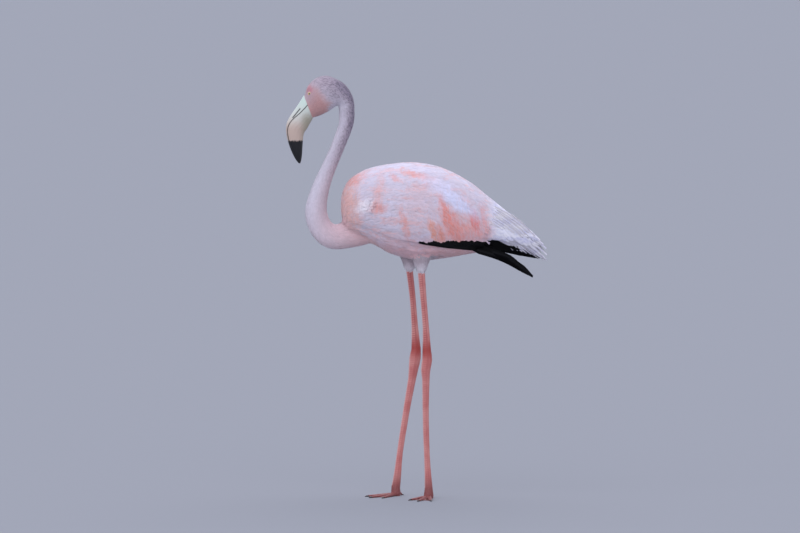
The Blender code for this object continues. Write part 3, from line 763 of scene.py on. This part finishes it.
def spaced(candidates, gap, bed=None):
    """Skin points no nearer to each other than the gap, which may differ from point to point."""
    co = (bed or coat).co
    order = rng.permutation(candidates)
    tree = kdtree.KDTree(len(order))
    for i in order:
        tree.insert(co[i], int(i))
    tree.balance()
    taken = np.zeros(len(co), bool)
    blocked = np.zeros(len(co), bool)
    for i in order:
        if blocked[i]:
            continue
        taken[i] = True
        for _, j, _ in tree.find_range(co[i], float(gap[i])):
            blocked[j] = True
    return np.flatnonzero(taken)


def split_by_side(index):
    return {"left": index[coat.co[index, 1] < MIDDLE], "right": index[coat.co[index, 1] >= MIDDLE]}


def wing_share():
    """How much each skin point belongs to a folded wing rather than to the breast and belly."""
    x, z = coat.co[:, 0], coat.co[:, 2]
    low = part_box("wing_left")[0]
    inside = smooth_step(x, low.x - 0.005, low.x + 0.03)
    lower_edge = low.z + 0.028 * smooth_step(-x, -0.02, 0.10)
    return inside * smooth_step(z, lower_edge, lower_edge + 0.012) * (coat.kind == 2)


def padding(nodes, cell=SKIN_CELL, rounds=30, bridged=()):
    """A mesh round some nodes, sunk as deep as the trunk's coat, for feathers to lie on."""
    mesh = merged_skin("guide", nodes, cell, rounds, bridged)
    write_points(mesh, read_points(mesh) - read_normals(mesh) * COAT_DEPTH["trunk"])
    return mesh


def padded(nodes, *settings):
    return surface_of(padding(nodes, *settings))


def both(*parts):
    return [f"{part}_{label}" for part in parts for label, _ in SIDES]


# The folded wings' long feathers are bridged over the back, where plumes will close over them.
WING_PADDING = padding(FLESH + both("tertials", "secondaries"), rounds=150, bridged=both("tertials"))
WING_SURFACE = surface_of(WING_PADDING)


def cover(name, where, size, stretch, closeness, lift, slot, replaced=(), **settings):
    """Grows one piece of coat; the closer the roots, the more the feathers overlap."""
    chosen = spaced(where, size * closeness)
    made = grow(name, chosen, size[chosen] * stretch, size[chosen], lift, rounded, **settings)
    return finish_piece(made, slot, *replaced)


RUFFLE = (-0.105, 0.601)  # a few white feathers stand up at the wing's bend
HEM = 0.532  # level at which the coverts end over the black feathers
HEM_FRONT = -0.010  # where the black feathers begin


def make_coat():
    everywhere = np.arange(len(coat.co))
    x = coat.co[:, 0]
    fine = 0.0022 + 0.0012 * smooth_step(coat.along, 0.06, 0.16)
    head = everywhere[coat.kind == 0]
    cover("head_feathers", head, fine, 2.4, 0.60, 0.0008, "face_feathers", rows=2, turn=10)
    small = 0.0032 + 0.0034 * smooth_step(coat.along, 0.40, 0.95)
    neck = everywhere[coat.kind == 1]
    cover("neck_feathers", neck, small, 2.4, 0.60, 0.0010, "neck_feathers", rows=2, turn=8)
    wing = wing_share()
    body = everywhere[(coat.kind == 2) & (wing < 0.5)]
    size = 0.0065 + 0.0025 * smooth_step(x, TRUNK_LOW.x, TRUNK_LOW.x + 0.08)
    cover("body_feathers", body, size, 3.2, 0.48, 0.0013, "body_feathers", rows=3)
    thigh = everywhere[coat.kind == 3]
    legs = padded(FLESH + both("shank"))
    thigh_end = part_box("thigh_left")[0].z
    size = 0.0036 + 0.0020 * smooth_step(-coat.co[:, 2], -thigh_end - 0.030, -thigh_end)
    loose = {"rows": 3, "turn": 14, "guide": legs, "vary": 0.40}
    cover("thigh_feathers", thigh, size, 3.0, 0.50, 0.0022, "body_feathers", **loose)
    upper = everywhere[(wing >= 0.5) & ((coat.co[:, 2] > HEM + 0.006) | (x < HEM_FRONT))]
    # Coverts grow from the shoulder to the rear edge of the wing, and reach past it.
    size = 0.0070 + 0.0045 * smooth_step(x, TRUNK_LOW.x + 0.02, TRUNK_HIGH.x - 0.04)
    for label, where in split_by_side(upper).items():
        nodes = (f"wing_{label}",)
        laid = {"rows": 4, "guide": WING_SURFACE, "hem": HEM}
        cover(f"coverts_{label}", where, size, 4.0, 0.42, 0.0016, "wing_coverts", nodes, **laid)


make_coat()

# --------------------------------------------------------------- long feathers in fans


def fan(name, keys, count, side, guide, outline, mat, cast=1):
    """Long feathers laid side by side on a guide, from keys of
    (root x, root height, tip x, tip height, sag, width, lift); cast is the axis they face."""
    pattern = vane_pattern(12)
    along, across, sheet, _ = pattern
    plan = 3 - cast  # the axis that "height" runs along
    feathers = []
    for root_x, root_h, tip_x, tip_h, sag, width, lift in spline(keys, count):
        start, end = np.array((root_x, root_h)), np.array((tip_x, tip_h))
        heading = unit(end - start)
        beside = np.array((-heading[1], heading[0])) * (side if cast == 1 else -side)
        wave = sag * (1 + rng.normal(0, 0.10))
        bow = np.array((0.0, 1.0)) * (wave * 4 * along * (1 - along))[:, None]
        line = start + (end - start) * along[:, None] + bow
        line = line + beside * (across * outline(along) * width / 2)[:, None]
        # Where the guide lies under each corner, and which way it faces, as a smooth vane.
        found = np.empty((len(line), 4))
        depth = None
        for i in np.argsort(along, kind="stable"):
            at = Vector((line[i, 0], 0.0, 0.0))
            at[plan], at[cast] = line[i, 1], (MIDDLE if cast == 1 else 0.6) + side * 0.4
            toward = Vector((0.0, 0.0, 0.0))
            toward[cast] = -side
            hit, normal, _, _ = guide.ray_cast(at, toward)
            if hit is None:
                at[cast] = depth if depth is not None else at[cast]
                hit, normal, _, _ = guide.find_nearest(at)
            depth = hit[cast]
            found[i] = depth, *(normal * (1 if normal[cast] * side >= 0 else -1))
        flow = np.stack((along**0, along, along**2, along**3, across, across * along), 1)
        found = flow @ np.linalg.lstsq(flow, found, rcond=None)[0]
        points = np.empty((len(line), 3))
        points[:, 0], points[:, plan], points[:, cast] = line[:, 0], line[:, 1], found[:, 0]
        camber = 1 - 0.30 * across**2
        sunk = 0.0060 * (1 - smooth_step(along, 0.0, 0.30))
        rise = lift * camber * (0.3 + 0.7 * along) - sunk + 0.00022 * sheet
        points += unit(found[:, 1:]) * rise[:, None]
        feathers.append(points)
    points = np.array(feathers)
    roots = points[:, np.argmin(along)]
    place = (roots[:, [0, 2]] - (TRUNK_LOW.x, TRUNK_LOW.z)) / (TRUNK_HIGH.x - TRUNK_LOW.x)
    return joined_vanes(
        name, points, pattern, roots, np.full(count, 1.1), np.zeros(count), place.clip(0.01, 0.99), mat
    )


# Keys of each fan, from the top down: root x, root z, tip x, tip z, sag, width, lift.
TERTIALS = (
    (0.124, 0.606, 0.252, 0.528, 0.004, 0.022, 0.0024),
    (0.122, 0.604, 0.265, 0.510, 0.008, 0.024, 0.0028),
    (0.120, 0.598, 0.266, 0.488, 0.009, 0.024, 0.0028),
    (0.118, 0.592, 0.248, 0.499, 0.006, 0.018, 0.0027),
    (0.116, 0.584, 0.229, 0.503, 0.004, 0.016, 0.0026),
    (0.116, 0.574, 0.209, 0.509, 0.002, 0.015, 0.0020),
    (0.126, 0.558, 0.188, 0.511, 0.000, 0.012, 0.0012),
)
SECONDARIES = (
    (-0.016, 0.533, 0.086, 0.517, 0.000, 0.010, 0.0016),
    (0.056, 0.529, 0.160, 0.515, 0.000, 0.020, 0.0016),
    (0.110, 0.535, 0.215, 0.515, 0.000, 0.018, 0.0014),
    (0.122, 0.548, 0.228, 0.511, 0.002, 0.016, 0.0012),
)
PRIMARIES = {
    "left": (
        (0.100, 0.516, 0.200, 0.492, 0.004, 0.013, 0.0036),
        (0.100, 0.512, 0.239, 0.456, 0.012, 0.014, 0.0026),
    ),
    "right": (
        (0.080, 0.532, 0.200, 0.501, 0.002, 0.012, 0.0036),
        (0.090, 0.528, 0.254, 0.490, 0.004, 0.013, 0.0026),
    ),
}
# Keys of the fans seen from above: root x, root y, tip x, tip y, sag, width, lift.
TAIL = (
    (0.130, MIDDLE - 0.010, 0.190, MIDDLE - 0.030, 0.0, 0.020, 0.0008),
    (0.140, MIDDLE, 0.255, MIDDLE, 0.0, 0.022, 0.0010),
    (0.130, MIDDLE + 0.010, 0.190, MIDDLE + 0.030, 0.0, 0.020, 0.0008),
)


def make_ruffle():
    near = np.linalg.norm(coat.co[:, [0, 2]] - RUFFLE, axis=1) < 0.011
    chosen = spaced(np.flatnonzero(near & (coat.kind == 2)), np.full(len(near), 0.0032))
    made = grow("ruffled_feathers", chosen, 0.015, 0.0055, 0.0036, rounded, guide=WING_SURFACE, turn=22)
    finish_piece(made, "body_feathers")


make_ruffle()


def make_rear_plumes():
    """Soft white plumes that close the back behind the wings, over both their sides."""
    bed = RearBed(WING_PADDING)
    x, z = bed.co[:, 0], bed.co[:, 2]
    hem = np.minimum(0.532 - 0.25 * (x - 0.125), 0.540)
    hem = hem - 0.034 * (np.abs(bed.co[:, 1] - MIDDLE) < 0.020)
    behind = (x > 0.080) & (x < 0.234) & (z > 0.690 - x)
    where = np.flatnonzero(behind & (z > hem + 0.018) & (bed.normal[:, 2] > -0.2))
    chosen = spaced(where, np.full(len(x), 0.0055), bed)
    length = 0.036 - 0.25 * np.maximum(x[chosen] - 0.200, 0)
    laid = {"rows": 6, "guide": WING_SURFACE, "hem": hem[chosen], "vary": 0.15, "bed": bed}
    made = grow("rear_plumes", chosen, length, 0.013, 0.0018, lanceolate, **laid)
    finish_piece(made, "wing_coverts")


make_rear_plumes()


def make_flight_feathers():
    """Tertial plumes over black secondaries and primaries, and the tail between the wings."""
    for label, side in SIDES:
        made = fan(f"tertial_feathers_{label}", TERTIALS, 14, side, WING_SURFACE, lanceolate, PLUMAGE)
        finish_piece(made, "wing_coverts", f"tertials_{label}")
        made = fan(f"secondary_feathers_{label}", SECONDARIES, 24, side, WING_SURFACE, bladed, FLIGHT_BLACK)
        finish_piece(made, "flight_feathers", f"secondaries_{label}")
        guide = padded(["trunk", f"primaries_{label}", f"secondaries_{label}"], FINE_CELL, 10)
        made = fan(f"primary_feathers_{label}", PRIMARIES[label], 7, side, guide, bladed, FLIGHT_BLACK)
        finish_piece(made, "flight_feathers", f"primaries_{label}")
    made = fan("tail_feathers", TAIL, 12, 1, padded(["tail"], FINE_CELL, 10), bladed, PLUMAGE, cast=2)
    finish_piece(made, "body_feathers", "tail")


make_flight_feathers()

# ------------------------------------------------------------------- legs, bill and eyes

SCUTE_PITCH = 0.0046


def make_legs():
    """One scaly skin from shank to toes; plates ring the front of the leg and the toes."""
    for label, _ in SIDES:
        nodes = [f"shank_{label}", f"tarsus_{label}", f"foot_{label}"]
        mesh = merged_skin(f"leg_skin_{label}", nodes, 0.0009, 6)
        co, normal = read_points(mesh), read_normals(mesh)
        ankle = node_points(f"foot_{label}")
        ankle = ankle[np.argmax(ankle[:, 2])]
        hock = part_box(f"tarsus_{label}")[1].z
        low = co[:, 2] < 0.022
        run = np.where(low, np.linalg.norm(co - ankle, axis=1) + 0.4, co[:, 2])
        front = np.where(low, normal[:, 2], -normal[:, 0])
        above_hock = smooth_step(co[:, 2], hock, hock + 0.02)
        # The leg's plates lean, and are bolder above the hock and on the toes than between.
        phase = (run + 0.0012 * front) / SCUTE_PITCH
        groove = np.abs((phase % 1) - 0.5) * 2
        bold = np.where(low, 0.8, 0.30 + 0.70 * above_hock)
        crease = smooth_step(groove, 0.62, 1.0) * smooth_step(front, -0.45, 0.25) * bold
        knob = np.exp(-(((co[:, 2] - hock) / 0.018) ** 2))
        seam = np.exp(-(((front + 0.10) / 0.16) ** 2)) * (~low) * (0.5 + 0.5 * above_hock)
        depth = 0.00045 * crease * (1 - 0.6 * knob) + 0.00030 * seam
        write_points(mesh, co - normal * depth[:, None])
        write_attribute(mesh, "crease", crease)
        write_attribute(mesh, "seam", seam)
        # A painted highlight runs down the front of the leg, above the toes and off the hock.
        write_attribute(mesh, "front_highlight", smooth_step(front, 0.55, 0.95) * (~low) * (1 - knob))
        write_attribute(mesh, "joint", np.maximum(knob, 0.5 * smooth_step(-co[:, 2], -0.040, -0.008)))
        finish_piece(object_of(mesh.name, mesh, LEG_SKIN), "leg_scales", *nodes)


make_legs()


# The slit nostril's ends, from the eye, in x and z.
EYE = node_centre("eye_left")[[0, 2]]
NOSTRIL = EYE + np.array(((-0.0207, -0.0306), (-0.0356, -0.0488)))


def make_bill():
    """Two halves of horn that meet in a line painted dark as shade, with a slit nostril on each side, also
    painted dark as shade.
    """
    halves = ("upper", "lower")
    skins = {half: merged_skin(f"bill_horn_{half}", [f"bill_{half}"], 0.0008, 30) for half in halves}
    surfaces = {half: surface_of(mesh) for half, mesh in skins.items()}
    for half, mesh in skins.items():
        other = surfaces["lower" if half == "upper" else "upper"]
        co, normal = read_points(mesh), read_normals(mesh)
        apart = np.array([other.find_nearest(Vector(point))[3] for point in co])
        # Near black where the halves meet: painted shade in the gap between them.
        painted_gap_shade = smooth_step(-apart, -0.0016, -0.0008)
        if half == "upper":
            start, end = NOSTRIL
            share = ((co[:, [0, 2]] - start) @ (end - start) / ((end - start) @ (end - start))).clip(0, 1)
            gap = np.linalg.norm(co[:, [0, 2]] - start - share[:, None] * (end - start), axis=1)
            slit = smooth_step(-gap, -0.0014, -0.0005)
            co = co - normal * (0.0012 * slit)[:, None]
            # The nostril slit is painted near black too, as shade inside it.
            painted_gap_shade = np.maximum(painted_gap_shade, slit)
        write_points(mesh, co)
        write_attribute(mesh, "painted_gap_shade", painted_gap_shade)
        finish_piece(object_of(mesh.name, mesh, BILL_HORN), "bill_horn", f"bill_{half}")


make_bill()


def make_eye_surface(centre, axis):
    """Wet cornea over a pale yellow iris and a round black pupil."""
    made, tree, shader = new_material("cornea over iris", Roughness=0.06, Coat_Weight=1.0)
    place = add(tree, "TexCoord", out="Object")
    away = add(tree, "VectorMath", {0: place, 1: tuple(centre)}, operation="SUBTRACT")
    off_axis = add(tree, "VectorMath", {0: away, 1: tuple(axis)}, operation="CROSS_PRODUCT")
    radius = add(tree, "VectorMath", {0: off_axis}, "Value", operation="LENGTH")
    rays = add(tree, "TexNoise", {0: off_axis, "Scale": 1000 / 0.8, "Detail": 3.0}, "Fac")
    iris = tinted(tree, "#efe3a0", "#c9a64e", rays, 0.3, 0.7)
    iris = tinted(tree, iris, "#4a3020", radius, 0.0030, 0.0038)
    colour = tinted(tree, "#050506", iris, radius, 0.0014, 0.0017)
    connect(shader, Base_Color=colour)
    return made


def make_lid_skin():
    """Bare lid skin: soft, slightly damp and finely wrinkled."""
    made, tree, shader = new_material("bare lid skin", Roughness=0.45, Coat_Weight=0.2)
    place = add(tree, "TexCoord", out="Object")
    wrinkle = add(tree, "TexNoise", {0: place, "Scale": 1000 / 0.7, "Detail": 3.0}, "Fac")
    colour = tinted(tree, "#c98c92", "#e8c0bc", wrinkle, 0.35, 0.65)
    bump = add(tree, "Bump", {"Strength": 0.3, "Distance": 0.0002, "Height": wrinkle})
    connect(shader, Base_Color=colour, Normal=bump)
    return made


LID_SKIN = make_lid_skin()


def make_eyes():
    for label, side in SIDES:
        low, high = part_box(f"eye_{label}")
        centre = np.array((low + high) / 2)
        radius = (high.x - low.x) / 2
        axis = unit(np.array((-0.30, side * 1.0, 0.05)))
        turn = Vector(axis).to_track_quat("Z", "Y").to_matrix().to_4x4()
        place = Matrix.Translation(Vector(centre)) @ turn
        bm = bmesh.new()
        bmesh.ops.create_uvsphere(bm, u_segments=40, v_segments=24, radius=radius, matrix=place)
        mesh = mesh_of(f"eyeball_{label}", bm)
        finish_piece(object_of(mesh.name, mesh, make_eye_surface(centre, axis)), "eye", f"eye_{label}")
        # A thin lid of bare skin stands round the eye.
        bm = bmesh.new()
        ring = bmesh.ops.create_circle(bm, segments=10, radius=0.0007)["verts"]
        bmesh.ops.rotate(bm, verts=ring, matrix=Matrix.Rotation(math.radians(90), 3, "X"))
        bmesh.ops.translate(bm, verts=ring, vec=(radius * 0.80, 0.0, radius * 0.62))
        turned = {"cent": (0, 0, 0), "axis": (0, 0, 1), "angle": math.tau, "steps": 48}
        bmesh.ops.spin(bm, geom=bm.verts[:] + bm.edges[:], use_merge=True, **turned)
        bmesh.ops.remove_doubles(bm, verts=bm.verts, dist=1e-6)
        bmesh.ops.recalc_face_normals(bm, faces=bm.faces)
        bmesh.ops.transform(bm, matrix=place, verts=bm.verts)
        mesh = mesh_of(f"eyelid_{label}", bm)
        finish_piece(object_of(mesh.name, mesh, LID_SKIN), "face_feathers")


make_eyes()


def cover_claws():
    for node, claw in NODES.items():
        if node.startswith("claw"):
            claw.data.materials.clear()
            claw.data.materials.append(CLAW_HORN)


cover_claws()

# ------------------------------------------------------------------- floor and camera


def make_floor():
    bm = bmesh.new()
    bmesh.ops.create_grid(bm, x_segments=1, y_segments=1, size=300.0)
    mesh = mesh_of("floor", bm)
    paper, _, shader = new_material("matt studio paper", Roughness=0.95)
    shader.inputs["Base Color"].default_value = hex_colour("#989ba2")
    shader.inputs["Specular IOR Level"].default_value = 0.0
    object_of("floor", mesh, paper)


def make_light(name, azimuth, elevation, strength, colour, softness):
    """A broad, soft light from a direction round the bird; azimuth 0 is the camera's side."""
    lamp = bpy.data.lights.new(name, "SUN")
    lamp.energy = strength
    lamp.angle = math.radians(softness)
    lamp.color = hex_colour(colour)[:3]
    a, e = math.radians(azimuth), math.radians(elevation)
    toward = Vector((math.sin(a) * math.cos(e), -math.cos(a) * math.cos(e), math.sin(e)))
    in_scene(name, lamp).rotation_euler = toward.to_track_quat("Z", "Y").to_euler()


def make_studio():
    make_light("sky from behind", 170, 62, 1.3, "#f8f6ff", 60)
    make_light("front fill", -20, 28, 1.25, "#f6f4ff", 90)
    world = bpy.data.worlds.new("studio")
    world.use_nodes = True
    world.node_tree.nodes["Background"].inputs["Color"].default_value = hex_colour("#d6dae8")
    world.node_tree.nodes["Background"].inputs["Strength"].default_value = 0.95
    bpy.context.scene.world = world
    bpy.context.scene.view_settings.view_transform = "Standard"


def make_camera():
    """A long lens from the bird's left, a little above it."""
    distance = 12.0
    framed_width = 1.64
    lens = bpy.data.cameras.new("camera")
    lens.sensor_width = 36.0
    lens.lens = lens.sensor_width * distance / framed_width
    lens.clip_start = 0.5
    lens.clip_end = 700.0
    made = in_scene("camera", lens)
    low, high = CAD_BOX
    target = Vector(((low.x + high.x) / 2 - 0.0333, MIDDLE, (low.z + high.z) / 2 + 0.0410))
    elevation = math.radians(3.5)
    back = Vector((0.0, -math.cos(elevation), math.sin(elevation)))
    made.location = target + back * distance
    made.rotation_euler = back.to_track_quat("Z", "Y").to_euler()
    bpy.context.scene.camera = made


make_floor()
make_studio()
make_camera()
